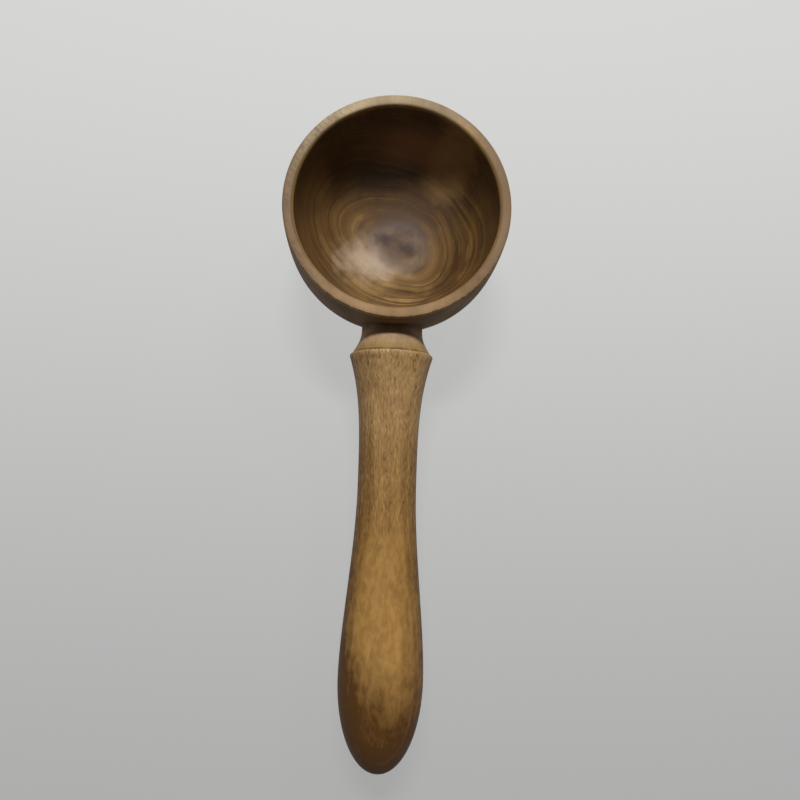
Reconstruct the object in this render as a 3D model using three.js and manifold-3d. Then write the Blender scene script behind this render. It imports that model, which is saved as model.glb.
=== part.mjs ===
// A turned wooden scoop: a hollowed bowl with a coved neck, a turned handle, and the hidden
// dowel that joins them at the shoulder. Millimetres, +Z up out of the bowl's mouth, the handle
// along -Y, and the origin in the middle of the bowl's flat foot.

import * as THREE from 'three';
import { mergeVertices, toCreasedNormals } from 'three/addons/utils/BufferGeometryUtils.js';
import Module from 'manifold-3d';

// Bowl, turned about the upright axis
const bowlHeight = 48;
const rimRadius = 37; // outer edge of the rim
const rimWidth = 3.5; // from the mouth's edge to the outer edge
const rimOuterEase = 0.3; // round-over on the outer edge
const rimInnerEase = 0.9; // round-over on the mouth's edge, across the rim
const rimInnerDrop = 1.8; // the same round-over, down the inside
const bellyRadius = 37.8; // widest circle of the outside
const bellyDepth = 17.8; // widest circle and handle axis, below the rim
const floorThickness = 12; // wood under the deepest point of the inside
const wallSweep = 21.5; // how far the inside's wall runs down before it turns in
const floorSweep = 20.5; // how far its floor runs out before it turns up
const footRadius = 12;

// Neck, turned on the bowl about the handle's axis
const neckRadius = 10.4;
const neckLength = 8.5; // from the belly to the shoulder
const coveRun = 4.5; // where the cove starts to open, before the shoulder
const shoulderRadius = 14.2;
const shoulderRun = 3; // length over which the cove runs out to the joint
const shoulderRise = 1.6; // height gained over that length
const shoulderArris = 0.8; // round-over on the handle's edge at the joint

// Handle, turned about its own axis
const shoulderToWaist = 44.5;
const waistRadius = 9.85;
const waistToGrip = 62.4;
const gripRadius = 14;
const gripToEnd = 29.2;
const shoulderTaper = 0.3; // fall of the radius for each millimetre just past the shoulder
const shoulderSweep = 14; // how far that taper carries into the waist's curve
const waistSweepIn = 19;
const waistSweepOut = 22;
const gripSweepIn = 16.5;
const gripSweepOut = 15.8;
const endCrown = 8.3; // radius at which the rounded end turns flat

// Dowel joint
const dowelRadius = 5;
const dowelInHandle = 15;
const dowelChamfer = 0.8;
const fluteCount = 16;
const fluteDepth = 0.4;
const boreFloorWall = 2; // wood left between the bore and the bowl's inside
const boreEndGap = 0.8; // room for glue past each end of the dowel
const boreClearance = 0.15; // glue film round the dowel
const glueLine = 0.1; // glue film between the two shoulder faces

// Fineness of the facets
const bowlSegments = 72;
const handleSegments = 48;
const boreSegments = 32;
const easeSteps = 4;
const curveSteps = 14;

// Places worked out from the sizes above
const axisHeight = bowlHeight - bellyDepth;
const mouthRadius = rimRadius - rimWidth;
const mouthHeight = bowlHeight - rimInnerDrop; // where the inside's curve meets the round-over
const bellyDrop = axisHeight / Math.sqrt(1 - (footRadius / bellyRadius) ** 2);
const shoulderAt = bellyRadius + neckLength; // joint face, measured from the bowl's axis
const coveRadius = shoulderRadius - shoulderArris; // where the cove meets the handle
const handleStart = shoulderAt + glueLine;
const waistAt = handleStart + shoulderToWaist;
const gripAt = waistAt + waistToGrip;
const endAt = gripAt + gripToEnd;
const boreRadius = dowelRadius + boreClearance;
const boreStart = mouthRadius + boreFloorWall;
const boreEnd = shoulderAt + dowelInHandle + boreEndGap;
const dowelStart = boreStart + boreEndGap;
const dowelLength = shoulderAt + dowelInHandle - dowelStart;

const wasm = await Module();
wasm.setup();

const point = (radius, along) => new THREE.Vector2(radius, along);

// Points of a quarter round-over, from one angle to another about a centre
function roundOver(centre, across, along, from, to) {
  const clockwise = to < from;
  return new THREE.EllipseCurve(centre.x, centre.y, across, along, from, to, clockwise).getPoints(easeSteps);
}

// A closed manifold solid from a geometry whose faces point outwards
function solidOf(geometry) {
  geometry.deleteAttribute('normal');
  geometry.deleteAttribute('uv');
  const welded = mergeVertices(geometry);
  const corners = welded.index.array;
  const triangles = [];
  for (let i = 0; i < corners.length; i += 3) {
    const [a, b, c] = corners.slice(i, i + 3);
    if (a !== b && b !== c && c !== a) {
      triangles.push(a, b, c);
    }
  }
  const mesh = new wasm.Mesh({
    numProp: 3,
    vertProperties: welded.attributes.position.array,
    triVerts: new Uint32Array(triangles),
  });
  return new wasm.Manifold(mesh);
}

// A solid turned from an outline of radius and distance along the axis, low end first
function turned(outline, segments, placement) {
  const geometry = new THREE.LatheGeometry(outline, segments);
  return solidOf(geometry.applyMatrix4(placement));
}

// A named mesh of a solid, smooth over its curves and sharp at its arrises
function piece(name, solid, material) {
  const { vertProperties, triVerts } = solid.getMesh();
  const geometry = new THREE.BufferGeometry();
  geometry.setAttribute('position', new THREE.BufferAttribute(vertProperties, 3));
  geometry.setIndex(new THREE.BufferAttribute(triVerts, 1));
  const mesh = new THREE.Mesh(toCreasedNormals(geometry, THREE.MathUtils.degToRad(25)), material);
  mesh.name = name;
  return mesh;
}

const wood = (color, roughness) => new THREE.MeshStandardMaterial({ color, roughness, metalness: 0 });

// Turning axes: the bowl's runs up, and the handle's runs from the bowl's axis out along -Y
const uprightAxis = new THREE.Matrix4().makeRotationX(Math.PI / 2);
const handleLine = new THREE.Group();
handleLine.position.set(0, 0, axisHeight);
handleLine.rotation.z = Math.PI;
handleLine.updateMatrix();
const alongLine = new THREE.Matrix4();

// Outside of the bowl: flat foot, rounded belly, nearly upright wall and flat rim
function bowlOutline() {
  const footAngle = -Math.acos(footRadius / bellyRadius);
  const belly = new THREE.EllipseCurve(0, axisHeight, bellyRadius, bellyDrop, footAngle, 0);
  const wallTop = point(rimRadius, bowlHeight - rimOuterEase);
  const wallBend = point(bellyRadius, (axisHeight + wallTop.y) / 2);
  const wall = new THREE.QuadraticBezierCurve(point(bellyRadius, axisHeight), wallBend, wallTop);
  const easeCentre = point(rimRadius - rimOuterEase, bowlHeight - rimOuterEase);
  return [
    point(0, 0),
    ...belly.getPoints(curveSteps),
    ...wall.getPoints(curveSteps / 2).slice(1),
    ...roundOver(easeCentre, rimOuterEase, rimOuterEase, 0, Math.PI / 2).slice(1),
    point(0, bowlHeight),
  ];
}

// Inside of the bowl, with the round-over at the mouth, as the shape that is cut away
function hollowOutline() {
  const bowl = new THREE.CubicBezierCurve(
    point(0, floorThickness),
    point(floorSweep, floorThickness),
    point(mouthRadius, mouthHeight - wallSweep),
    point(mouthRadius, mouthHeight),
  );
  const easeCentre = point(mouthRadius + rimInnerEase, mouthHeight);
  const clearOfRim = bowlHeight + floorThickness;
  return [
    ...bowl.getPoints(curveSteps),
    ...roundOver(easeCentre, rimInnerEase, rimInnerDrop, Math.PI, Math.PI / 2).slice(1),
    point(easeCentre.x, clearOfRim),
    point(0, clearOfRim),
  ];
}

// Neck from inside the bowl's wall out to the shoulder's joint face
function neckOutline() {
  const cove = new THREE.CubicBezierCurve(
    point(neckRadius, bellyRadius),
    point(neckRadius, shoulderAt - coveRun),
    point(coveRadius - shoulderRise, shoulderAt - shoulderRun),
    point(coveRadius, shoulderAt),
  );
  return [
    point(0, 0),
    point(neckRadius, 0),
    ...cove.getPoints(curveSteps),
    point(0, shoulderAt),
  ];
}

// Handle from the joint face through the waist and the grip to the rounded end
function handleOutline() {
  const arrisCentre = point(coveRadius, handleStart + shoulderArris);
  const waist = point(waistRadius, waistAt);
  const grip = point(gripRadius, gripAt);
  const taper = new THREE.CubicBezierCurve(
    point(shoulderRadius, arrisCentre.y),
    point(shoulderRadius - shoulderTaper * shoulderSweep, handleStart + shoulderSweep),
    point(waistRadius, waistAt - waistSweepIn),
    waist,
  );
  const swell = new THREE.CubicBezierCurve(
    waist,
    point(waistRadius, waistAt + waistSweepOut),
    point(gripRadius, gripAt - gripSweepIn),
    grip,
  );
  const end = new THREE.CubicBezierCurve(
    grip,
    point(gripRadius, gripAt + gripSweepOut),
    point(endCrown, endAt),
    point(0, endAt),
  );
  return [
    point(0, handleStart),
    ...roundOver(arrisCentre, shoulderArris, shoulderArris, -Math.PI / 2, 0),
    ...taper.getPoints(curveSteps).slice(1),
    ...swell.getPoints(curveSteps).slice(1),
    ...end.getPoints(curveSteps).slice(1),
  ];
}

// The blind bore on the handle's axis, half in the neck and half in the handle
function bore(placement) {
  const outline = [point(0, boreStart), point(boreRadius, boreStart), point(boreRadius, boreEnd), point(0, boreEnd)];
  return turned(outline, boreSegments, placement);
}

function makeBowl() {
  const outside = turned(bowlOutline(), bowlSegments, uprightAxis);
  const neck = turned(neckOutline(), handleSegments, handleLine.matrix);
  const hollow = turned(hollowOutline(), bowlSegments, uprightAxis);
  const shape = outside.add(neck).subtract(hollow).subtract(bore(handleLine.matrix));
  return piece('bowl', shape, wood('#6f4b2a', 0.5));
}

function makeHandle() {
  const shape = turned(handleOutline(), handleSegments, alongLine).subtract(bore(alongLine));
  return piece('handle', shape, wood('#8a6439', 0.5));
}

// Fluted pin with chamfered ends: the flutes let the glue run back along it
function makeDowel() {
  const crestAngle = Math.PI / fluteCount / 2;
  const section = new THREE.Shape();
  for (let flute = 0; flute < fluteCount; flute += 1) {
    const middle = (2 * Math.PI * flute) / fluteCount;
    section.absarc(0, 0, dowelRadius, middle - crestAngle, middle + crestAngle, false);
    const valley = middle + Math.PI / fluteCount;
    const valleyRadius = dowelRadius - fluteDepth;
    section.lineTo(valleyRadius * Math.cos(valley), valleyRadius * Math.sin(valley));
  }
  section.closePath();
  const pin = new THREE.ExtrudeGeometry(section, {
    depth: dowelLength - 2 * dowelChamfer,
    curveSegments: 1,
    bevelThickness: dowelChamfer,
    bevelSize: dowelChamfer,
    bevelOffset: -dowelChamfer,
    bevelSegments: 1,
  });
  pin.rotateX(-Math.PI / 2);
  pin.translate(0, dowelStart + dowelChamfer, 0);
  return piece('dowel', solidOf(pin), wood('#c8a877', 0.7));
}

handleLine.add(makeHandle(), makeDowel());

const scoop = new THREE.Group();
scoop.add(makeBowl(), handleLine);

export default scoop;
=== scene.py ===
"""Looks of a turned wooden scoop, modelled round its CAD frame: the hollowed bowl with its coved
neck, the turned handle, the dowel that joins them, and a plain studio stage. Metres, +Z up."""

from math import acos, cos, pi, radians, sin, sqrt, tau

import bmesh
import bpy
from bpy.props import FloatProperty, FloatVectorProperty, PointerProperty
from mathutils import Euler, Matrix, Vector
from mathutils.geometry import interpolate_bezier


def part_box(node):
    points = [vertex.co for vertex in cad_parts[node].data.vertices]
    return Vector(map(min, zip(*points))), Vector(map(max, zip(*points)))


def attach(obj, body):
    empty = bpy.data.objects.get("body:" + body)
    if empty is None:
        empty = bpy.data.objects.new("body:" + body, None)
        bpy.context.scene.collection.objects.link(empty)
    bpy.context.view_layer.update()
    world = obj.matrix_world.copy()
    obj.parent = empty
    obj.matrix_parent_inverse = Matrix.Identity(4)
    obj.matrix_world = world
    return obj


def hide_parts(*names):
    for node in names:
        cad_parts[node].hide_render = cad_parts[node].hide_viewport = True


bl_info = {
    "name": "Turned wooden scoop",
    "version": (1, 0, 0),
    "blender": (4, 5, 0),
    "location": "3D View > Sidebar > Scoop",
    "description": "Models a turned scoop of oiled wood over its CAD frame",
    "category": "Object",
}

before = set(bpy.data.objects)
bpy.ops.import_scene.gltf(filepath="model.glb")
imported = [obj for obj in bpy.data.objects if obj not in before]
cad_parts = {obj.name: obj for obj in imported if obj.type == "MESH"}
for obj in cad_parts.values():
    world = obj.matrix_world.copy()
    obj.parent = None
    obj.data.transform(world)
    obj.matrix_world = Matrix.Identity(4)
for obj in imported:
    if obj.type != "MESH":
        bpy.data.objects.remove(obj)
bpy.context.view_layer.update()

BODY = "root"
MM = 0.001
BOWL_STEPS = 192
HANDLE_STEPS = 128
CURVE_STEPS = 24
EASE_STEPS = 5
WELD = 1e-6
SHARP_ANGLE = radians(32)
CLIP_START = 10 * MM

bowl_low, bowl_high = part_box("bowl")
handle_low, handle_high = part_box("handle")
dowel_low, dowel_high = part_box("dowel")
handle_middle = (handle_low.z + handle_high.z) / 2


# Properties that a user would change

def length(name, description, millimetres):
    """A length property with its default given in millimetres."""
    return FloatProperty(
        name=name, description=description, default=millimetres * MM, unit="LENGTH", precision=5
    )


def framed(name, description, metres):
    """A length property whose default is taken from the frame, in metres."""
    return FloatProperty(name=name, description=description, default=metres, unit="LENGTH", precision=5)


def place(name, description, *millimetres):
    """A point with its default given in millimetres."""
    return FloatVectorProperty(
        name=name, description=description, default=[part * MM for part in millimetres],
        size=3, subtype="TRANSLATION", unit="LENGTH", precision=5,
    )


def watts(name, description, default):
    """A lamp's power."""
    return FloatProperty(name=name, description=description, default=default, min=0, unit="POWER")


def share(name, description, default):
    """A plain number between nothing and one."""
    return FloatProperty(
        name=name, description=description, default=default, min=0, max=1, subtype="FACTOR"
    )


def colour(name, description, red, green, blue):
    """A linear colour."""
    return FloatVectorProperty(
        name=name, description=description, default=(red, green, blue, 1),
        size=4, subtype="COLOR", min=0, max=1,
    )


class ScoopBowlSizes(bpy.types.PropertyGroup):
    """Sizes of the bowl and its neck."""

    height: framed("Height", "From the foot to the rim", bowl_high.z)
    belly_radius: framed("Belly radius", "Widest circle of the outside", bowl_high.x)
    axis_height: framed("Axis height", "Height of the belly and the handle's axis", handle_middle)
    shoulder_at: framed("Shoulder distance", "From the bowl's axis to the joint", -bowl_low.y)
    shoulder_radius: framed("Shoulder radius", "Radius at the joint", handle_high.x)
    rim_radius: length("Rim radius", "Outer edge of the rim", 37)
    rim_width: length("Rim width", "From the mouth's edge to the outer edge", 3.5)
    outer_ease: length("Outer ease", "Round-over on the rim's outer edge", 0.3)
    inner_ease: length("Inner ease", "Round-over on the mouth's edge, across the rim", 0.9)
    inner_drop: length("Inner drop", "The same round-over, down the inside", 1.8)
    floor_thickness: length("Floor", "Wood under the deepest point of the inside", 12)
    wall_sweep: length("Wall sweep", "How far the inside's wall runs down before it turns in", 21.5)
    floor_sweep: length("Floor sweep", "How far the inside's floor runs out before it turns up", 20.5)
    foot_radius: length("Foot radius", "Flat disc that the bowl stands on", 12)
    neck_radius: length("Neck radius", "Slimmest part of the neck", 10.4)
    neck_root: length("Neck root", "Where the neck starts inside the wall, from the bowl's axis", 34.6)
    cove_run: length("Cove run", "Where the cove starts to open, before the joint", 4.5)
    shoulder_run: length("Shoulder run", "Length over which the cove runs out to the joint", 3)
    shoulder_rise: length("Shoulder rise", "Height gained over that length", 1.6)
    arris: length("Arris", "Round-over on the handle's edge at the joint", 0.8)
    glue_fill: length("Glue fill", "How far the squeezed glue closes the joint", 0.06)


class ScoopHandleSizes(bpy.types.PropertyGroup):
    """Sizes of the handle."""

    start: framed("Start", "From the bowl's axis to the joint face", -handle_high.y)
    end: framed("End", "From the bowl's axis to the tip", -handle_low.y)
    waist_run: length("Waist", "From the joint to the waist", 44.5)
    waist_radius: length("Waist radius", "Slimmest part", 9.85)
    grip_run: length("Grip", "From the waist to the fullest part of the grip", 62.4)
    grip_radius: length("Grip radius", "Fullest part of the grip", 14)
    shoulder_sweep: length("Shoulder sweep", "How far the first taper carries", 14)
    shoulder_fall: length("Shoulder fall", "Radius lost over that sweep", 4.2)
    waist_sweep_in: length("Waist sweep in", "Roundness of the waist towards the bowl", 19)
    waist_sweep_out: length("Waist sweep out", "Roundness of the waist towards the grip", 22)
    grip_sweep_in: length("Grip sweep in", "Roundness of the grip towards the waist", 16.5)
    grip_sweep_out: length("Grip sweep out", "Roundness of the grip towards the tip", 15.8)
    end_crown: length("End crown", "Radius at which the rounded tip turns flat", 8.3)


class ScoopBoreSizes(bpy.types.PropertyGroup):
    """Sizes of the blind bore that takes the dowel."""

    clearance: length("Clearance", "Glue film round the dowel", 0.15)
    end_gap: length("End gap", "Room for glue past each end of the dowel", 0.8)


class ScoopWoodColours(bpy.types.PropertyGroup):
    """Colours of the wood, linear."""

    bowl_pale: colour("Bowl early wood", "Pale wood between the bowl's ring lines", 0.25, 0.137, 0.044)
    bowl_dark: colour("Bowl late wood", "Dark wood of the bowl's ring lines", 0.060, 0.029, 0.009)
    # Painted light: a paler colour for sheen low on the inside, and for light bounced onto the far right
    # wall.
    bowl_painted_light: colour("Bowl painted light", "Paler wood low on the bowl's inside", 0.42, 0.252, 0.093)
    # Painted bounce light: a redder, lighter colour high on the far wall, where light bounces inside the
    # bowl.
    bowl_painted_bounce: colour("Bowl painted bounce", "Redder wood high on the far wall of the inside", 0.33, 0.148, 0.062)
    bowl_outside: colour("Bowl outside", "Warmer wood of the outside", 0.235, 0.118, 0.030)
    # Painted highlight: a whitish colour left of the bowl's middle, where a lamp's sheen falls.
    bowl_painted_highlight: colour("Bowl painted highlight", "Palest wood, left of the bowl's middle", 0.54, 0.41, 0.28)
    bowl_heart: colour("Bowl heart", "Greyer wood in the bowl's middle", 0.104, 0.064, 0.046)
    bowl_core: colour("Bowl core", "Dark stains in the heart", 0.054, 0.033, 0.027)
    rim: colour("Rim", "Flat of the rim", 0.23, 0.128, 0.042)
    # Painted highlight: the far end of the rim's flat is whiter, where the lamps' sheen falls.
    rim_painted_highlight: colour("Rim painted highlight", "Flat of the rim at its far end", 0.62, 0.475, 0.265)
    rim_gold: colour("Golden rim", "Flat of the rim over the neck", 0.42, 0.240, 0.085)
    lip: colour("Lip", "Round-over at the mouth's edge", 0.44, 0.265, 0.094)
    cove: colour("Cove", "Pale wood of the neck and its cove", 0.55, 0.35, 0.19)
    cove_gold: colour("Golden cove", "Golden wood of the cove next to the joint", 0.42, 0.265, 0.085)
    handle_pale: colour("Handle early wood", "Pale wood of the grip", 0.47, 0.26, 0.075)
    shoulder_pale: colour("Shoulder early wood", "Greyer pale wood near the joint", 0.49, 0.305, 0.131)
    handle_dark: colour("Handle late wood", "Dark wood of the handle", 0.105, 0.0455, 0.0113)
    # Painted highlight: pale glints along the crest of the handle's arris.
    arris_painted_glint: colour("Specks", "Torn fibres on the handle's arris", 0.70, 0.53, 0.33)
    pore: colour("Pores", "Open pores filled with oil and dust", 0.085, 0.037, 0.011)
    dowel: colour("Dowel", "Raw dowel wood", 0.57, 0.39, 0.18)


class ScoopStage(bpy.types.PropertyGroup):
    """Floor, light and camera."""

    camera_place: place("Camera place", "Where the camera stands", -4.811, -80.536, 234.478)
    camera_turn: FloatVectorProperty(
        name="Camera turn", description="How the camera is turned", size=3, subtype="EULER",
        default=(radians(5.2033), radians(-2.4966), radians(1.8365)),
    )
    lens: FloatProperty(
        name="Lens", description="Focal length in millimetres", default=27, unit="CAMERA"
    )
    key_place: place("Key place", "Middle of the key light", -25, 303, 640)
    key_length: length("Key length", "Length of the key light, along X", 200)
    key_width: length("Key width", "Width of the key light", 80)
    key_power: watts("Key power", "Power of the key light", 4.75)
    fill_place: place("Fill place", "Middle of the fill light", 370, 530, 690)
    fill_length: length("Fill length", "Length of the fill light, along X", 140)
    fill_width: length("Fill width", "Width of the fill light", 140)
    fill_power: watts("Fill power", "Power of the fill light", 1.2)
    sky: share("Sky", "Strength of the even light from above", 0.035)
    floor_glow: share("Floor glow", "How much of the floor's look is its own glow", 0.84)
    floor_radius: length("Floor radius", "From the middle to the backdrop", 1500)
    backdrop_cove: length("Backdrop cove", "Radius at which the floor turns up into the backdrop", 500)
    backdrop_height: length("Backdrop height", "Top edge of the backdrop", 1300)
    floor: colour("Floor", "Pale floor and backdrop", 0.58, 0.58, 0.575)


# Outlines, as points of radius and height over the turning axis

def ellipse(centre, across, up, start, stop, steps):
    """Points of an ellipse about a centre, from one angle to another."""
    turn = (stop - start) / steps
    angles = [start + turn * step for step in range(steps + 1)]
    return [centre + Vector((across * cos(angle), 0, up * sin(angle))) for angle in angles]


def sweep(*corners, steps=CURVE_STEPS):
    """Points of a cubic curve through its first and last corner."""
    return interpolate_bezier(*corners, steps + 1)


def spot(radius, height):
    """A point of an outline."""
    return Vector((radius, 0, height))


def bowl_outline(size):
    """Half section of the hollowed bowl, from the foot round the rim to the middle of the inside."""
    mouth = size.rim_radius - size.rim_width
    mouth_height = size.height - size.inner_drop
    belly = spot(size.belly_radius, size.axis_height)
    drop = size.axis_height / sqrt(1 - (size.foot_radius / size.belly_radius) ** 2)
    foot_angle = -acos(size.foot_radius / size.belly_radius)
    wall_top = spot(size.rim_radius, size.height - size.outer_ease)
    bend = spot(size.belly_radius, (belly.z + wall_top.z) / 2)
    outer_centre = spot(size.rim_radius - size.outer_ease, wall_top.z)
    inner_centre = spot(mouth + size.inner_ease, mouth_height)
    return [
        spot(0, 0),
        *ellipse(spot(0, size.axis_height), size.belly_radius, drop, foot_angle, 0, CURVE_STEPS),
        *sweep(belly, belly.lerp(bend, 2 / 3), wall_top.lerp(bend, 2 / 3), wall_top)[1:],
        *ellipse(outer_centre, size.outer_ease, size.outer_ease, 0, pi / 2, EASE_STEPS)[1:],
        *ellipse(inner_centre, size.inner_ease, size.inner_drop, pi / 2, pi, EASE_STEPS),
        *sweep(
            spot(mouth, mouth_height),
            spot(mouth, mouth_height - size.wall_sweep),
            spot(size.floor_sweep, size.floor_thickness),
            spot(0, size.floor_thickness),
            steps=2 * CURVE_STEPS,
        )[1:],
    ]


def neck_outline(size):
    """Half section of the neck, from inside the bowl's wall to the joint face."""
    cove_radius = size.shoulder_radius - size.arris
    joint = size.shoulder_at + size.glue_fill
    return [
        spot(0, size.neck_root),
        spot(size.neck_radius, size.neck_root),
        *sweep(
            spot(size.neck_radius, size.belly_radius),
            spot(size.neck_radius, size.shoulder_at - size.cove_run),
            spot(cove_radius - size.shoulder_rise, size.shoulder_at - size.shoulder_run),
            spot(cove_radius, joint),
        ),
        spot(0, joint),
    ]


def handle_outline(size, shoulder_radius, arris):
    """Half section of the handle, from the joint face through waist and grip to the tip."""
    waist = spot(size.waist_radius, size.start + size.waist_run)
    grip = spot(size.grip_radius, waist.z + size.grip_run)
    shoulder = spot(shoulder_radius, size.start + arris)
    taper = spot(shoulder_radius - size.shoulder_fall, size.start + size.shoulder_sweep)
    tip = spot(0, size.end)
    return [
        spot(0, size.start),
        *ellipse(shoulder - spot(arris, 0), arris, arris, -pi / 2, 0, EASE_STEPS),
        *sweep(shoulder, taper, waist - spot(0, size.waist_sweep_in), waist)[1:],
        *sweep(
            waist, waist + spot(0, size.waist_sweep_out), grip - spot(0, size.grip_sweep_in), grip
        )[1:],
        *sweep(grip, grip + spot(0, size.grip_sweep_out), tip + spot(size.end_crown, 0), tip)[1:],
    ]


# Solids

def along_handle(axis_height):
    """Placement that lays a turning axis along the handle, out from the bowl along -Y."""
    return Matrix.Translation((0, 0, axis_height)) @ Matrix.Rotation(pi / 2, 4, "X")


def turned(name, outline, steps, placement=None):
    """An object spun from an outline about the upright axis, then put in its place."""
    shape = bmesh.new()
    points = [shape.verts.new(point) for point in outline]
    edges = [shape.edges.new(pair) for pair in zip(points, points[1:])]
    bmesh.ops.spin(
        shape, geom=points + edges, cent=(0, 0, 0), axis=(0, 0, 1),
        angle=tau, steps=steps, use_merge=True,
    )
    bmesh.ops.remove_doubles(shape, verts=shape.verts, dist=WELD)
    bmesh.ops.recalc_face_normals(shape, faces=shape.faces)
    bmesh.ops.transform(shape, matrix=placement or Matrix(), verts=shape.verts)
    return into_object(name, shape)


def into_object(name, shape):
    """An object in the scene that holds a finished bmesh."""
    mesh = bpy.data.meshes.new(name)
    shape.to_mesh(mesh)
    shape.free()
    piece = bpy.data.objects.new(name, mesh)
    bpy.context.scene.collection.objects.link(piece)
    return piece


def combine(piece, tool, operation):
    """Joins a tool shape to a piece or cuts it away, and keeps only the piece."""
    modifier = piece.modifiers.new(operation.title(), "BOOLEAN")
    modifier.operation = operation
    modifier.solver = "EXACT"
    modifier.object = tool
    made = piece.evaluated_get(bpy.context.evaluated_depsgraph_get())
    mesh = bpy.data.meshes.new_from_object(made)
    old = piece.data
    piece.modifiers.clear()
    piece.data = mesh
    mesh.name = piece.name
    bpy.data.meshes.remove(old)
    bpy.data.meshes.remove(tool.data)
    if not mesh.polygons:
        raise RuntimeError(f"{operation} left nothing of {piece.name}")


def bore_tool(bore, axis_height):
    """The blind bore on the handle's axis, a little wider and longer than the dowel."""
    radius = dowel_high.x + bore.clearance
    near = -dowel_high.y - bore.end_gap
    far = -dowel_low.y + bore.end_gap
    outline = [spot(0, near), spot(radius, near), spot(radius, far), spot(0, far)]
    return turned("bore", outline, HANDLE_STEPS // 2, along_handle(axis_height))


def finish_piece(piece, material, node):
    """Smooths a piece, dresses it and sets it in the frame."""
    piece.data.shade_smooth()
    piece.data.set_sharp_from_angle(angle=SHARP_ANGLE)
    piece.data.materials.clear()
    piece.data.materials.append(material)
    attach(piece, BODY)
    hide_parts(node)


# Places on the wood, in millimetres

RIM_TOP = bowl_high.z / MM
JOINT = bowl_low.y / MM

# Fades by height, from where a change starts to where it is complete
LIP_FADE = (RIM_TOP - 2.0, RIM_TOP - 1.2)
RIM_FADE = (RIM_TOP - 0.5, RIM_TOP - 0.1)
TONGUE_FADE = (39.2, 40.4)

# Fades along Y, in the same way
NECK_FADE = (JOINT + 9.8, JOINT + 6.3)
# Where painted light on the shaded neck fades in
PAINTED_NECK_LIGHT_FADE = (JOINT + 3.8, JOINT + 6.8)
GOLD_FADE = (JOINT + 4.3, JOINT + 0.8)
SEAM_FADE = (JOINT + 0.7, JOINT + 0.2)
ARRIS_FADE = (JOINT - 1.6, JOINT - 0.9)
NICK_START = (JOINT - 1.5, JOINT - 2.3)
NICK_END = (JOINT - 5.2, JOINT - 2.7)
CLUMP_END = (JOINT - 6.7, JOINT - 2.7)
FAN_FADE = (-47.0, -75.0)
SHOULDER_FADE = (-115.0, -55.0)
WAIST_START = (-68.0, -80.0)
WAIST_END = (-114.0, -100.0)
STIPPLE_FADE = (-92.0, -120.0)
GRIP_FADE = (-95.0, -120.0)
CURL_END = (-166.0, -150.0)
RIGHT_END = (-160.0, -148.0)
# Where the painted shade over the tip fades in
PAINTED_TIP_SHADE_FADE = (-140.0, -165.0)

# Fades by distance from the bowl's axis, in the same way
OUTER_EDGE_FADE = (35.7, 36.8)
INNER_EDGE_FADE = (34.8, 34.2)
BRUISE_FADE = (36.35, 36.75)

# Patches in the XY plane: the middle, the reach, and the share of the reach that is full
# Patch of painted highlight at the rim's far end
PAINTED_RIM_HIGHLIGHT = ((-17, 36), (50, 43), 0.1)
GOLDEN_RIM = ((-2, -38), (46, 32), 0.2)
DARK_EDGES = ((-37, 2), (24, 36), 0.3)
# Painted sheen low on the inside, and painted bounce light high on the far right wall
NEAR_PAINTED_SHEEN = ((-5, -24), (27, 13.5), 0.35)
FAR_PAINTED_BOUNCE = ((18.5, 22), (11, 11), 0.35)
# Patch of painted highlight, left of the bowl's middle
PAINTED_HIGHLIGHT = ((-9.5, -8.5), (17.5, 12), 0.0)
# Painted shadow of the far rim, on the far wall
PAINTED_SHADOW = ((-14, 21), (20, 9), 0.2)
# Greyer wood round the heart, with painted shade just below the far rim's shadow
VEIL_AND_PAINTED_SHADE = ((5, 11), (27, 17), 0.2)
HEART = ((1, -3), (13.5, 12), 0.1)
LEFT_CORE = ((-4, 1.2), (7, 4.8), 0.1)
RIGHT_CORE = ((5.5, -2), (6.5, 4.3), 0.1)

# Where the rim is chattered: the middle and the reach
CHATTERED_RIM = ((-31, 10), (28, 46))

# Lie of the wood: turns about Z in degrees, and where the pale layer on the grip bends up
FIGURE_TURN = 30
CHATTER_TURN = 128
TONGUE_BEND = -115.0
TONGUE_CLIMB = 7e-7


# Materials, worked out in millimetres

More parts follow.
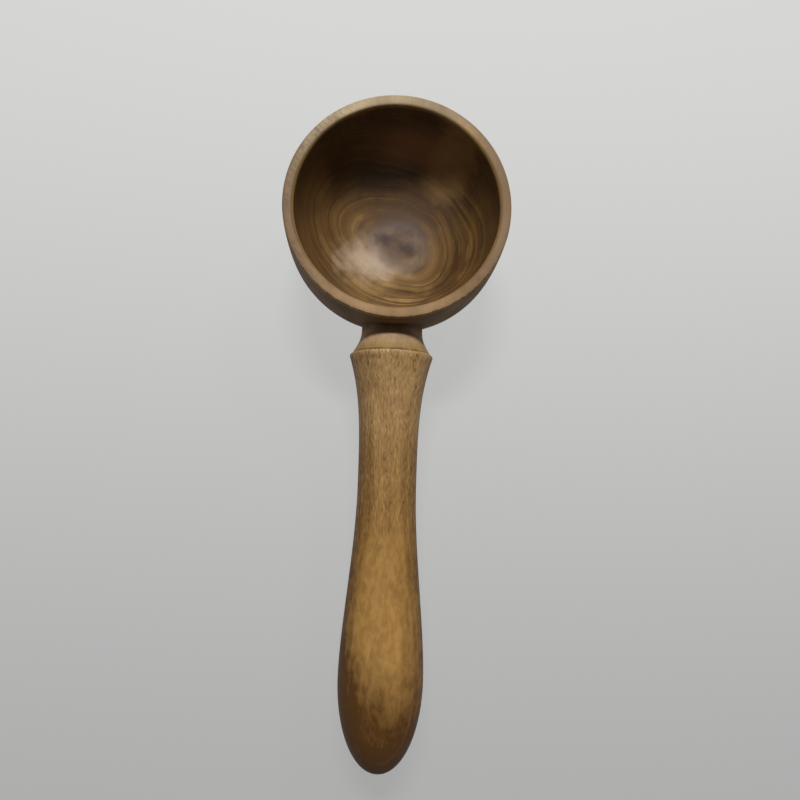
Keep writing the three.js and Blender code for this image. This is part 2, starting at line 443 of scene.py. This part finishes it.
class Wiring:
    """Adds nodes to one node tree and joins them up."""

    def __init__(self, tree):
        self.tree = tree

    def add(self, kind, inputs=None, **settings):
        """A node of a kind, with its settings and with values or links on its inputs."""
        node = self.tree.nodes.new(kind)
        for name, value in settings.items():
            setattr(node, name, value)
        for name, value in (inputs or {}).items():
            self.feed(node.inputs[name], value)
        return node

    def feed(self, socket, value):
        """Links a socket, or sets its value."""
        if isinstance(value, bpy.types.NodeSocket):
            self.tree.links.new(value, socket)
        else:
            socket.default_value = value

    def math(self, operation, *values):
        """The outcome of an operation on numbers."""
        return self.add("ShaderNodeMath", dict(enumerate(values)), operation=operation).outputs[0]

    def chain(self, operation, first, *others):
        """The outcome of an operation on many numbers, taken in turn."""
        outcome = first
        for value in others:
            outcome = self.math(operation, outcome, value)
        return outcome

    def times(self, *values):
        """The product of several values."""
        return self.chain("MULTIPLY", *values)

    def most(self, *values):
        """The largest of several values."""
        return self.chain("MAXIMUM", *values)

    def rest(self, mask):
        """What a mask leaves of one."""
        return self.math("SUBTRACT", 1.0, mask)

    def vector(self, operation, *values):
        """The outcome of an operation on vectors."""
        return self.add("ShaderNodeVectorMath", dict(enumerate(values)), operation=operation).outputs[0]

    def blend(self, factor, first, second):
        """A mix of two colours."""
        inputs = {0: factor, 6: first, 7: second}
        return self.add("ShaderNodeMix", inputs, data_type="RGBA").outputs[2]

    def coats(self, base, *coats):
        """A base colour with others laid over it in turn, each where its mask says."""
        result = base
        for mask, coat in coats:
            result = self.blend(mask, result, coat)
        return result

    def step(self, value, low, high, start=0.0, stop=1.0):
        """A smooth step of a value from low to high."""
        inputs = {0: value, 1: low, 2: high, 3: start, 4: stop}
        return self.add("ShaderNodeMapRange", inputs, interpolation_type="SMOOTHSTEP").outputs[0]

    def split(self, position):
        """The three coordinates of a position."""
        return self.add("ShaderNodeSeparateXYZ", {0: position}).outputs

    def size(self, vector):
        """The length of a vector."""
        return self.add("ShaderNodeVectorMath", {0: vector}, operation="LENGTH").outputs["Value"]

    def turn(self, position, degrees):
        """A position turned about Z."""
        inputs = {"Vector": position, "Angle": radians(degrees)}
        return self.add("ShaderNodeVectorRotate", inputs, rotation_type="Z_AXIS").outputs[0]

    def apart(self, position, middle=(0, 0), reach=(1, 1)):
        """Distance from a middle in the XY plane, counted in reaches."""
        offset = self.vector("SUBTRACT", position, (*middle, 0))
        return self.size(self.vector("MULTIPLY", offset, (1 / reach[0], 1 / reach[1], 0)))

    def noise(self, position, scale, detail, stretch=(1, 1, 1), distortion=0.0):
        """Cloudy noise from nothing to one, stretched along the axes."""
        stretched = self.vector("MULTIPLY", position, stretch)
        inputs = {"Vector": stretched, "Scale": scale, "Detail": detail, "Distortion": distortion}
        return self.add("ShaderNodeTexNoise", inputs).outputs[0]

    def swing(self, position, scale, detail, stretch=(1, 1, 1)):
        """Cloudy noise that swings up and down about nothing."""
        return self.math("SUBTRACT", self.noise(position, scale, detail, stretch), 0.5)

    def bands(self, distance, scale, detail):
        """Noise along one line, from nothing to one."""
        inputs = {"W": distance, "Scale": scale, "Detail": detail}
        return self.add("ShaderNodeTexNoise", inputs, noise_dimensions="1D").outputs[0]

    def patch(self, position, ragged, middle, reach, full):
        """A patch about a middle in the XY plane, full up to a share of its reach, with a ragged edge."""
        return self.step(self.math("ADD", self.apart(position, middle, reach), ragged), 1.0, full)


def effect(name, inputs, outputs):
    """A new shader node group with named sockets, as its tree, wiring, input node and output node."""
    tree = bpy.data.node_groups.new(name, "ShaderNodeTree")
    for label, kind, default in inputs:
        socket = tree.interface.new_socket(label, in_out="INPUT", socket_type=kind)
        if default is not None:
            socket.default_value = default
    for label in outputs:
        tree.interface.new_socket(label, in_out="OUTPUT", socket_type="NodeSocketFloat")
    wiring = Wiring(tree)
    return tree, wiring, wiring.add("NodeGroupInput"), wiring.add("NodeGroupOutput")


def shared(name, make):
    """The node group of that name, made at its first use."""
    return bpy.data.node_groups.get(name) or make(name)


def growth_layers(name):
    """Growth layers about a pith along Y: bands of tone, with fading pale and dark lines."""
    tree, wiring, given, put = effect(
        name,
        [
            ("Position", "NodeSocketVector", None),
            ("Pith", "NodeSocketVector", (0, 0, 0)),
            ("Spacing", "NodeSocketFloat", 1.5),
            ("Wander", "NodeSocketFloat", 3.0),
        ],
        ["Tone", "Pale", "Dark"],
    )
    position = given.outputs["Position"]
    drift = wiring.swing(position, 0.045, 1, (1, 0.7, 1))
    ripple = wiring.swing(position, 0.14, 1, (1, 0.5, 1))
    bend = wiring.math("MULTIPLY_ADD", ripple, 0.1, drift)
    offset = wiring.vector("SUBTRACT", position, given.outputs["Pith"])
    across = wiring.size(wiring.vector("MULTIPLY", offset, (1, 0, 1)))
    radius = wiring.math("MULTIPLY_ADD", bend, given.outputs["Wander"], across)
    ring = wiring.math("DIVIDE", radius, given.outputs["Spacing"])

    def lines(shift, scale, fade):
        """Lines where banded noise crosses its middle, faded in and out by a cloudy noise."""
        crossing = wiring.math("SUBTRACT", wiring.bands(wiring.math("ADD", ring, shift), scale, 1), 0.5)
        line = wiring.step(wiring.math("ABSOLUTE", crossing), 0.0, 0.09, 1.0, 0.0)
        return wiring.times(line, wiring.step(fade, 0.4, 0.6, 0.1, 1.0))

    wiring.feed(put.inputs["Tone"], wiring.step(wiring.bands(ring, 1.1, 3), 0.25, 0.75))
    wiring.feed(put.inputs["Pale"], lines(40.0, 1.3, wiring.noise(position, 0.09, 2)))
    wiring.feed(put.inputs["Dark"], lines(80.0, 1.1, wiring.noise(position, 0.12, 2)))
    return tree


def open_pores(name):
    """Short dark dashes along Y, bent a little and thinned out at random."""
    tree, wiring, given, put = effect(
        name,
        [
            ("Position", "NodeSocketVector", None),
            ("Cell", "NodeSocketFloat", 0.9),
            ("Slimness", "NodeSocketFloat", 0.18),
            ("Share", "NodeSocketFloat", 0.6),
        ],
        ["Pore"],
    )
    position = given.outputs["Position"]
    bend = wiring.add("ShaderNodeTexNoise", {"Vector": position, "Scale": 0.45, "Detail": 2.0})
    bent = wiring.vector("SUBTRACT", bend.outputs["Color"], (0.5, 0.5, 0.5))
    bent = wiring.vector("MULTIPLY_ADD", bent, (2.4, 0, 2.4), position)
    slim = wiring.add("ShaderNodeCombineXYZ", {0: 1.0, 1: given.outputs["Slimness"], 2: 1.0})
    stretched = wiring.vector("MULTIPLY", bent, slim.outputs[0])
    scale = wiring.math("DIVIDE", 1.0, given.outputs["Cell"])
    cells = wiring.add("ShaderNodeTexVoronoi", {"Vector": stretched, "Scale": scale}, feature="F1")
    lot = wiring.add("ShaderNodeSeparateColor", {0: cells.outputs["Color"]})
    depth = wiring.step(lot.outputs[0], 0.0, given.outputs["Share"], 1.0, 0.0)
    dash = wiring.step(cells.outputs["Distance"], 0.15, 0.42, 1.0, 0.0)
    wiring.feed(put.inputs["Pore"], wiring.times(dash, depth))
    return tree


def wood_fibre(name):
    """Streaks and dark and pale flecks along Y, a wavy mottle, and broad clouds of tone."""
    tree, wiring, given, put = effect(
        name, [("Position", "NodeSocketVector", None)], ["Streak", "Fleck", "Glint", "Mottle", "Cloud"]
    )
    position = given.outputs["Position"]
    streak = wiring.noise(position, 1.7, 3, (1, 0.06, 1))
    fleck = wiring.noise(position, 1.7, 2, (1, 0.25, 1))
    mottle = wiring.noise(position, 0.42, 3, (1, 0.7, 1), 0.5)
    cloud = wiring.noise(position, 0.09, 3, (1, 0.45, 1))
    wiring.feed(put.inputs["Streak"], wiring.step(streak, 0.3, 0.7))
    wiring.feed(put.inputs["Fleck"], wiring.step(fleck, 0.53, 0.66))
    wiring.feed(put.inputs["Glint"], wiring.step(fleck, 0.47, 0.34))
    wiring.feed(put.inputs["Mottle"], wiring.step(mottle, 0.36, 0.66))
    wiring.feed(put.inputs["Cloud"], wiring.step(cloud, 0.3, 0.7))
    return tree


def place_group(wiring, name, make, **inputs):
    """One use of a shared effect in a material."""
    node = wiring.add("ShaderNodeGroup", node_tree=shared(name, make))
    for label, value in inputs.items():
        wiring.feed(node.inputs[label], value)
    return node.outputs


def new_material(name):
    """A node material with only its shader, as the material, its wiring and its shader."""
    material = bpy.data.materials.new(name)
    material.use_nodes = True
    wiring = Wiring(material.node_tree)
    return material, wiring, material.node_tree.nodes["Principled BSDF"]


def in_millimetres(wiring):
    """Object coordinates in millimetres."""
    metres = wiring.add("ShaderNodeTexCoord").outputs["Object"]
    return wiring.vector("MULTIPLY", metres, [1 / MM] * 3)


def weighed(wiring, start, *parts):
    """A sum of masks, each with its weight, held between nothing and one."""
    total = start
    for weight, mask in parts:
        total = wiring.math("MULTIPLY_ADD", mask, weight, total)
    return wiring.math("MAXIMUM", wiring.math("MINIMUM", total, 1.0), 0.0)


def inside_mask(wiring, position):
    """One on the bowl's inside and rim, nothing on its outside, told by which way the surface looks."""
    normal = wiring.add("ShaderNodeNewGeometry").outputs["Normal"]
    # Out from the axis and a little down, so that faces that look up count as inside
    away = wiring.vector("MULTIPLY_ADD", position, (1, 1, 0), (0, 0, -8))
    outward = wiring.add("ShaderNodeVectorMath", {0: normal, 1: away}, operation="DOT_PRODUCT")
    return wiring.step(outward.outputs["Value"], 3.0, -3.0)


def end_grain(wiring):
    """How squarely the surface cuts across the fibres, which run along Y."""
    facing = wiring.split(wiring.add("ShaderNodeNewGeometry").outputs["Normal"])[1]
    return wiring.math("POWER", wiring.math("ABSOLUTE", facing), 2.0)


def relief(wiring, shader, hollows, strength, depth):
    """Hollows in the surface from a mask, with their depth in millimetres."""
    inputs = {"Strength": strength, "Distance": depth * MM, "Height": wiring.rest(hollows)}
    wiring.feed(shader.inputs["Normal"], wiring.add("ShaderNodeBump", inputs).outputs["Normal"])


def bowl_shade(wiring, position, fibre, inside, neck):
    """How dark the bowl is: nested growth lines inside, faint outside, few on the neck, painted shade and
    light.
    """
    skewed = wiring.turn(position, FIGURE_TURN)
    layers = place_group(
        wiring, "Growth layers", growth_layers,
        Position=skewed, Pith=(0, 0, 80), Spacing=1.8, Wander=3.8,
    )
    across, along, height = wiring.split(position)
    sides = wiring.step(wiring.math("ABSOLUTE", wiring.split(skewed)[0]), 3.0, 14.0, 0.6, 1.15)
    right = wiring.step(across, -12.0, 6.0, 0.75, 1.0)
    figure = wiring.times(inside, wiring.step(height, 16.0, 36.0, 1.0, 0.3), sides, right)
    body = wiring.times(wiring.step(height, *LIP_FADE, 1.0, 0.0), wiring.rest(neck))
    figure = wiring.times(wiring.most(figure, 0.3), wiring.step(body, 0.0, 1.0, 0.2, 1.0))
    return weighed(
        wiring, 0.24,
        # Painted shade: darker up the inside walls, above the floor
        (0.24, wiring.times(inside, body, wiring.step(height, 15.0, 26.0))),
        (0.4, wiring.times(layers["Tone"], figure)),
        (-0.58, wiring.times(layers["Pale"], figure)),
        (0.22, wiring.times(layers["Dark"], figure)),
        (0.12, wiring.times(fibre["Mottle"], neck)),
        # Painted light: paler where the bowl's shadow falls on the neck
        (-0.26, wiring.times(neck, wiring.step(along, *PAINTED_NECK_LIGHT_FADE))),
        (0.08, fibre["Streak"]),
        (0.2, fibre["Cloud"]),
        (0.12, end_grain(wiring)),
    )


def bowl_patches(wiring, position, inside, ragged):
    """Masks of the bowl's inside patches by name: painted light, highlight and shadow, a veil, a heart,
    its core.
    """
    across, along, height = wiring.split(position)
    torn = wiring.times(wiring.swing(position, 0.3, 2), 1.5)

    def patch(where, edge=ragged):
        """A patch that stays on the inside."""
        return wiring.times(inside, wiring.patch(position, edge, *where))

    return {
        # Painted sheen low on the inside, and painted bounce light high on the far right wall
        "near painted sheen": patch(NEAR_PAINTED_SHEEN),
        "far painted bounce": patch(FAR_PAINTED_BOUNCE),
        # Painted bounce light high on the far wall
        "far wall": wiring.times(
            inside,
            wiring.step(height, 20.0, 27.0),
            wiring.step(height, 40.0, 31.0),
            wiring.step(across, -14.0, 2.0),
            wiring.step(across, 28.0, 17.0),
            wiring.step(along, 6.0, 16.0),
        ),
        # Painted highlight left of the middle
        "glow": patch(PAINTED_HIGHLIGHT),
        # Painted shadow of the far rim
        "painted shadow": patch(PAINTED_SHADOW),
        # Greyer wood round the heart, with painted shade below the far rim's shadow
        "veil and painted shade": patch(VEIL_AND_PAINTED_SHADE),
        "heart": patch(HEART),
        "core": wiring.most(patch(LEFT_CORE, torn), patch(RIGHT_CORE, torn)),
    }


def rim_colour(wiring, position, ragged, colours):
    """Pale wood of the rim's flat, with a painted highlight at its far end and golden over the neck."""
    return wiring.coats(
        colours.rim,
        # Painted highlight at the rim's far end
        (wiring.patch(position, 0.0, *PAINTED_RIM_HIGHLIGHT), colours.rim_painted_highlight),
        (wiring.patch(position, ragged, *GOLDEN_RIM), colours.rim_gold),
    )


def rim_marks(wiring, position, rim):
    """Dark marks on the rim: chatter and dark edges on its left, turning lines, a bruised outer edge."""
    chatter = wiring.noise(wiring.turn(position, CHATTER_TURN), 1.6, 2, (1, 0.2, 1))
    chattered = wiring.step(wiring.apart(position, *CHATTERED_RIM), 1.1, 0.3, 0.06, 0.46)
    radius = wiring.apart(position)
    bruises = wiring.step(wiring.noise(position, 0.5, 3), 0.42, 0.6, 0.1, 0.7)
    near = wiring.step(wiring.split(position)[1], 12.0, -8.0)
    border = wiring.most(wiring.step(radius, *OUTER_EDGE_FADE), wiring.step(radius, *INNER_EDGE_FADE))
    marks = wiring.most(
        wiring.times(wiring.step(chatter, 0.46, 0.62), chattered),
        wiring.step(wiring.bands(radius, 2.6, 2), 0.5, 0.75, 0.0, 0.3),
        wiring.times(wiring.step(radius, *BRUISE_FADE), bruises, near),
        wiring.times(border, wiring.patch(position, 0.0, *DARK_EDGES), 0.4),
    )
    return wiring.times(rim, marks)


def seam_mark(wiring, position, fibre):
    """Dark glue line round the end of the neck, broken up, and weaker at its sides."""
    across, along = wiring.split(position)[:2]
    return wiring.times(
        wiring.step(along, *SEAM_FADE),
        wiring.step(fibre["Mottle"], 0.0, 0.5, 0.4, 1.0),
        wiring.step(wiring.math("ABSOLUTE", across), 8.0, 12.0, 0.8, 0.3),
    )


def bowl_material(colours):
    """Oiled wood: growth lines, a heart, painted light and shade inside, a painted rim highlight, a
    golden neck.
    """
    material, wiring, shader = new_material("bowl_wood")
    position = in_millimetres(wiring)
    along, height = wiring.split(position)[1:]
    pores = place_group(
        wiring, "Open pores", open_pores, Position=position, Cell=0.7, Slimness=0.16, Share=0.3
    )
    fibre = place_group(wiring, "Wood fibre", wood_fibre, Position=position)
    inside = inside_mask(wiring, position)
    outside = wiring.rest(inside)
    rim = wiring.step(height, *RIM_FADE)
    neck = wiring.step(along, *NECK_FADE)
    ragged = wiring.times(wiring.swing(position, 0.2, 2), 0.9)
    patches = bowl_patches(wiring, position, inside, ragged)

    # Painted sheen and painted bounce light, mixed into the pale wood
    painted_sheen_and_bounce = wiring.most(wiring.times(patches["near painted sheen"], 0.9), patches["far painted bounce"])
    cove = wiring.blend(wiring.step(along, *GOLD_FADE), colours.cove, colours.cove_gold)
    pale = wiring.coats(
        colours.bowl_pale,
        (outside, colours.bowl_outside),
        (painted_sheen_and_bounce, colours.bowl_painted_light),
        # Painted highlight, first coat
        (wiring.times(patches["glow"], 0.5), colours.bowl_painted_highlight),
        (neck, cove),
        (wiring.step(height, *LIP_FADE), colours.lip),
        (rim, rim_colour(wiring, position, ragged, colours)),
    )
    marks = wiring.most(
        seam_mark(wiring, position, fibre),
        wiring.times(pores["Pore"], 0.3),
        rim_marks(wiring, position, rim),
    )
    wood = wiring.coats(
        pale,
        (bowl_shade(wiring, position, fibre, inside, neck), colours.bowl_dark),
        # Painted bounce light on the far wall
        (wiring.times(patches["far wall"], 0.7), colours.bowl_painted_bounce),
        # More painted bounce light on the far right wall, laid over the shade
        (wiring.times(patches["far painted bounce"], 0.68), colours.bowl_painted_light),
        # Painted shadow of the far rim, on the far wall
        (wiring.times(patches["painted shadow"], 0.5), colours.bowl_dark),
        # Greyer wood round the heart, with painted shade below the far rim's shadow
        (wiring.times(patches["veil and painted shade"], 0.58), colours.bowl_core),
        # Painted highlight, second coat
        (wiring.times(patches["glow"], 0.55), colours.bowl_painted_highlight),
        (wiring.times(patches["heart"], 0.82), colours.bowl_heart),
        (wiring.times(patches["core"], 0.85), colours.bowl_core),
        (marks, colours.bowl_dark),
    )
    wiring.feed(shader.inputs["Base Color"], wood)
    dull = weighed(
        wiring, 0.38,
        (0.1, fibre["Cloud"]), (0.4, patches["heart"]), (0.2, rim), (0.25, neck), (0.33, outside),
    )
    wiring.feed(shader.inputs["Roughness"], dull)
    shader.inputs["Specular IOR Level"].default_value = 0.4
    relief(wiring, shader, pores["Pore"], 0.3, 0.08)
    return material


def pale_tongue(wiring, position, grip):
    """Pale layer on top of the grip, with a ragged end that reaches lower on the right."""
    across, along, height = wiring.split(position)
    run = wiring.most(wiring.math("SUBTRACT", TONGUE_BEND, along), 0.0)
    square = wiring.times(run, run)
    drop = wiring.math("MULTIPLY_ADD", wiring.times(square, square), -TONGUE_CLIMB, height)
    level = wiring.math("MULTIPLY_ADD", across, 0.09, drop)
    ragged = wiring.swing(position, 0.3, 3, (1, 0.6, 1))
    ragged_level = wiring.math("MULTIPLY_ADD", ragged, 3.5, level)
    return wiring.times(wiring.step(ragged_level, *TONGUE_FADE), grip)


def handle_shade(wiring, position, fibre, stipple, grip):
    """How dark the handle is: stippled shoulder, darker waist, mottled grip, painted shade on flanks and
    tip.
    """
    layers = place_group(
        wiring, "Growth layers", growth_layers,
        Position=position, Pith=(0, 0, 130), Spacing=2.2, Wander=2.5,
    )
    across, along, height = wiring.split(position)
    # Painted shade over the tip, reaching further up on the left
    tip = wiring.step(wiring.math("MULTIPLY_ADD", across, 0.6, along), *PAINTED_TIP_SHADE_FADE)
    # Painted shade: the handle darker down its flanks and underside, a little more on the left
    painted_flank_shade = wiring.step(wiring.math("MULTIPLY_ADD", across, 0.12, height), 40.0, 31.0)
    painted_flank_shade = wiring.times(painted_flank_shade, wiring.step(height, 19.0, 29.0, 0.3, 1.0))
    waist = wiring.times(wiring.step(along, *WAIST_START), wiring.step(along, *WAIST_END))
    # Painted shade on the left of shoulder and waist, and on the right of the grip
    left = wiring.times(wiring.step(across, -2.0, -7.0), wiring.rest(grip))
    right = wiring.times(wiring.step(across, 5.0, 8.5), grip, wiring.step(along, *RIGHT_END))
    curl = wiring.times(
        wiring.step(along, *CURL_END, 0.5, 1.0), wiring.step(along, *GRIP_FADE, 0.25, 1.0)
    )
    return weighed(
        wiring, 0.14,
        (0.16, layers["Tone"]),
        (-0.1, layers["Pale"]),
        (0.1, layers["Dark"]),
        (0.2, wiring.times(fibre["Fleck"], stipple)),
        (-0.24, wiring.times(fibre["Glint"], stipple)),
        (0.23, wiring.times(fibre["Mottle"], curl)),
        (0.1, wiring.times(fibre["Streak"], stipple)),
        (0.14, fibre["Cloud"]),
        (-0.12, pale_tongue(wiring, position, grip)),
        # Painted shade on the flanks and sides
        (0.2, painted_flank_shade),
        (0.28, wiring.times(painted_flank_shade, grip)),
        (0.07, left),
        (0.18, right),
        (0.12, waist),
        (0.15, end_grain(wiring)),
        # Painted shade over the tip
        (0.66, tip),
    )


def nicks_and_painted_glints(wiring, position):
    """Masks by the joint: dark nicks past the arris, and painted glints along its crest."""
    across, along = wiring.split(position)[:2]
    torn = wiring.noise(position, 1.4, 1, (1, 0.3, 0.3))
    strip = wiring.times(wiring.step(along, *NICK_END), wiring.step(along, *NICK_START), 0.28)
    nicks = wiring.times(wiring.step(torn, 0.5, 0.38), strip)
    crest = wiring.step(wiring.math("ABSOLUTE", across), 2.0, 7.0, 0.7, 0.1)
    # Painted glints on the arris's crest
    painted_glints = wiring.times(wiring.step(along, *ARRIS_FADE), wiring.step(torn, 0.5, 0.62), crest)
    return nicks, painted_glints


def handle_material(colours):
    """Oiled wood: flecks fanning in from the shoulder, a mottled grip with a pale layer, painted shade
    and glints.
    """
    material, wiring, shader = new_material("handle_wood")
    position = in_millimetres(wiring)
    across, along, height = wiring.split(position)
    fan = wiring.times(across, wiring.step(along, *FAN_FADE, 1.0, 1.3))
    fanned = wiring.add("ShaderNodeCombineXYZ", {0: fan, 1: along, 2: height}).outputs[0]
    pores = place_group(
        wiring, "Open pores", open_pores, Position=fanned, Cell=1.0, Slimness=0.2, Share=0.55
    )
    fibre = place_group(wiring, "Wood fibre", wood_fibre, Position=fanned)
    stipple = wiring.step(along, *STIPPLE_FADE, 1.0, 0.16)
    grip = wiring.step(along, *GRIP_FADE)

    clump = wiring.step(wiring.noise(position, 0.12, 2), 0.4, 0.6, 0.35, 1.0)
    clump = wiring.most(clump, wiring.step(along, *CLUMP_END))
    pits = wiring.times(pores["Pore"], stipple, clump)
    nicks, painted_glints = nicks_and_painted_glints(wiring, position)
    shoulder = wiring.step(along, *SHOULDER_FADE)
    wood = wiring.coats(
        colours.handle_pale,
        (shoulder, colours.shoulder_pale),
        (handle_shade(wiring, position, fibre, stipple, grip), colours.handle_dark),
        (wiring.times(pits, 0.85), colours.pore),
        (nicks, colours.pore),
        # Painted glints on the arris
        (painted_glints, colours.arris_painted_glint),
    )
    wiring.feed(shader.inputs["Base Color"], wood)
    dull = weighed(wiring, 0.46, (0.1, fibre["Cloud"]), (0.1, fibre["Fleck"]))
    wiring.feed(shader.inputs["Roughness"], dull)
    shader.inputs["Specular IOR Level"].default_value = 0.12
    relief(wiring, shader, pits, 0.25, 0.08)
    return material


def dimmed(tone, level):
    """A darker shade of a colour."""
    return [level * part for part in tone]


def dowel_material(colours):
    """Raw pale wood with straight fibres."""
    material, wiring, shader = new_material("dowel_wood")
    fibre = place_group(wiring, "Wood fibre", wood_fibre, Position=in_millimetres(wiring))
    wood = wiring.blend(fibre["Streak"], colours.dowel, dimmed(colours.dowel, 0.7))
    wiring.feed(shader.inputs["Base Color"], wood)
    shader.inputs["Roughness"].default_value = 0.7
    return material


def floor_material(stage):
    """Matt pale floor whose glow, seen but lighting nothing, softens the shadow and pales along Y."""
    material, wiring, shader = new_material("stage_floor")
    position = in_millimetres(wiring)
    along, height = wiring.split(position)[1:]
    cloud = wiring.noise(position, 0.004, 2)
    wiring.feed(shader.inputs["Base Color"], wiring.blend(cloud, stage.floor, dimmed(stage.floor, 0.94)))
    shader.inputs["Roughness"].default_value = 0.9
    shader.inputs["Specular IOR Level"].default_value = 0.2
    path = wiring.add("ShaderNodeLightPath").outputs
    seen = wiring.most(path["Is Camera Ray"], path["Is Glossy Ray"], path["Is Transmission Ray"])
    # Painted light: the floor's glow is brighter towards +Y, as if lit from there, and evens out up the
    # backdrop
    level = wiring.step(along, -260.0, 140.0, 0.73, 1.19)
    backdrop = wiring.step(height, 0.0, 400.0)
    evened = wiring.times(wiring.math("SUBTRACT", 0.96, level), backdrop)
    strength = wiring.math("ADD", level, evened)
    glow = wiring.add("ShaderNodeEmission", {"Color": stage.floor, "Strength": strength})
    share_of_glow = wiring.times(seen, stage.floor_glow)
    mix = wiring.add("ShaderNodeMixShader", {0: share_of_glow, 1: shader.outputs[0], 2: glow.outputs[0]})
    wiring.feed(material.node_tree.nodes["Material Output"].inputs["Surface"], mix.outputs[0])
    return material


# Operators

class SCOOP_OT_bowl(bpy.types.Operator):
    """Turn the bowl with its neck, bore it and dress it"""

    bl_idname = "scoop.bowl"
    bl_label = "Bowl"

    def execute(self, context):
        scene = context.scene
        size = scene.scoop_bowl
        lathe = along_handle(size.axis_height)
        bowl = turned("bowl_turned", bowl_outline(size), BOWL_STEPS)
        combine(bowl, turned("neck", neck_outline(size), HANDLE_STEPS, lathe), "UNION")
        combine(bowl, bore_tool(scene.scoop_bore, size.axis_height), "DIFFERENCE")
        finish_piece(bowl, bowl_material(scene.scoop_colours), "bowl")
        return {"FINISHED"}


class SCOOP_OT_handle(bpy.types.Operator):
    """Turn the handle, bore it and dress it"""

    bl_idname = "scoop.handle"
    bl_label = "Handle"

    def execute(self, context):
        scene = context.scene
        bowl = scene.scoop_bowl
        outline = handle_outline(scene.scoop_handle, bowl.shoulder_radius, bowl.arris)
        handle = turned("handle_turned", outline, HANDLE_STEPS, along_handle(bowl.axis_height))
        combine(handle, bore_tool(scene.scoop_bore, bowl.axis_height), "DIFFERENCE")
        finish_piece(handle, handle_material(scene.scoop_colours), "handle")
        return {"FINISHED"}


class SCOOP_OT_dowel(bpy.types.Operator):
    """Dress the fluted dowel of the frame"""

    bl_idname = "scoop.dowel"
    bl_label = "Dowel"

    def execute(self, context):
        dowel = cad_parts["dowel"]
        dowel.data.materials.clear()
        dowel.data.materials.append(dowel_material(context.scene.scoop_colours))
        return {"FINISHED"}


class SCOOP_OT_stage(bpy.types.Operator):
    """Set the floor, the light and the camera"""

    bl_idname = "scoop.stage"
    bl_label = "Stage"

    def execute(self, context):
        scene = context.scene
        stage = scene.scoop_stage
        target = Vector((0, 0, scene.scoop_bowl.axis_height))
        self.add_floor(stage)
        key_sizes = (stage.key_length, stage.key_width)
        fill_sizes = (stage.fill_length, stage.fill_width)
        self.add_lamp(scene, "key", stage.key_place, key_sizes, stage.key_power, target)
        self.add_lamp(scene, "fill", stage.fill_place, fill_sizes, stage.fill_power, target)
        self.add_sky(scene, stage)
        self.add_camera(scene, stage)
        scene.view_settings.view_transform = "Standard"
        return {"FINISHED"}

    def add_floor(self, stage):
        """A round floor that turns up into a backdrop on every side."""
        cove = stage.backdrop_cove
        outline = [
            spot(0, 0),
            *ellipse(spot(stage.floor_radius - cove, cove), cove, cove, -pi / 2, 0, CURVE_STEPS),
            spot(stage.floor_radius, stage.backdrop_height),
        ]
        floor = turned("stage_floor", outline, BOWL_STEPS)
        floor.data.shade_smooth()
        floor.data.materials.append(floor_material(stage))

    def add_lamp(self, scene, name, middle, sizes, power, target):
        """A rectangular lamp whose long side lies along X, aimed at a target."""
        lamp = bpy.data.lights.new(name, "AREA")
        lamp.shape = "RECTANGLE"
        lamp.size, lamp.size_y = sizes
        lamp.energy = power
        back = (Vector(middle) - target).normalized()
        side = (Vector((1, 0, 0)) - back * back.x).normalized()
        holder = bpy.data.objects.new(name, lamp)
        holder.location = middle
        holder.rotation_euler = Matrix((side, back.cross(side), back)).transposed().to_euler()
        scene.collection.objects.link(holder)

    def add_sky(self, scene, stage):
        """Even white light from the world."""
        world = bpy.data.worlds.new("studio")
        world.use_nodes = True
        background = world.node_tree.nodes["Background"]
        background.inputs["Color"].default_value = (1, 1, 1, 1)
        background.inputs["Strength"].default_value = stage.sky
        scene.world = world

    def add_camera(self, scene, stage):
        """A camera fitted to the outlines of the object."""
        camera = bpy.data.objects.new("camera", bpy.data.cameras.new("camera"))
        camera.data.lens = stage.lens
        camera.data.clip_start = CLIP_START
        camera.location = stage.camera_place
        camera.rotation_euler = Euler(stage.camera_turn)
        scene.collection.objects.link(camera)
        scene.camera = camera


class SCOOP_PT_panel(bpy.types.Panel):
    """Sizes, colours and steps of the scoop"""

    bl_label = "Turned scoop"
    bl_idname = "SCOOP_PT_panel"
    bl_space_type = "VIEW_3D"
    bl_region_type = "UI"
    bl_category = "Scoop"

    def draw(self, context):
        """Lists every size and colour, then every step."""
        for name in GROUPS:
            box = self.layout.box()
            group = getattr(context.scene, name)
            for label in group.__annotations__:
                box.prop(group, label)
        for operator in OPERATORS:
            self.layout.operator(operator.bl_idname)


GROUPS = {
    "scoop_bowl": ScoopBowlSizes,
    "scoop_handle": ScoopHandleSizes,
    "scoop_bore": ScoopBoreSizes,
    "scoop_colours": ScoopWoodColours,
    "scoop_stage": ScoopStage,
}
OPERATORS = (SCOOP_OT_bowl, SCOOP_OT_handle, SCOOP_OT_dowel, SCOOP_OT_stage)
CLASSES = (*GROUPS.values(), *OPERATORS, SCOOP_PT_panel)


def register():
    """Makes the classes known and hangs the sizes and colours on the scene."""
    for cls in CLASSES:
        bpy.utils.register_class(cls)
    for name, cls in GROUPS.items():
        setattr(bpy.types.Scene, name, PointerProperty(type=cls))


def unregister():
    """Takes back what register did."""
    for name in GROUPS:
        delattr(bpy.types.Scene, name)
    for cls in reversed(CLASSES):
        bpy.utils.unregister_class(cls)


def main():
    """Builds the stage and the pieces."""
    register()
    bpy.ops.scoop.stage()
    bpy.ops.scoop.bowl()
    bpy.ops.scoop.handle()
    bpy.ops.scoop.dowel()


if __name__ == "__main__":
    main()
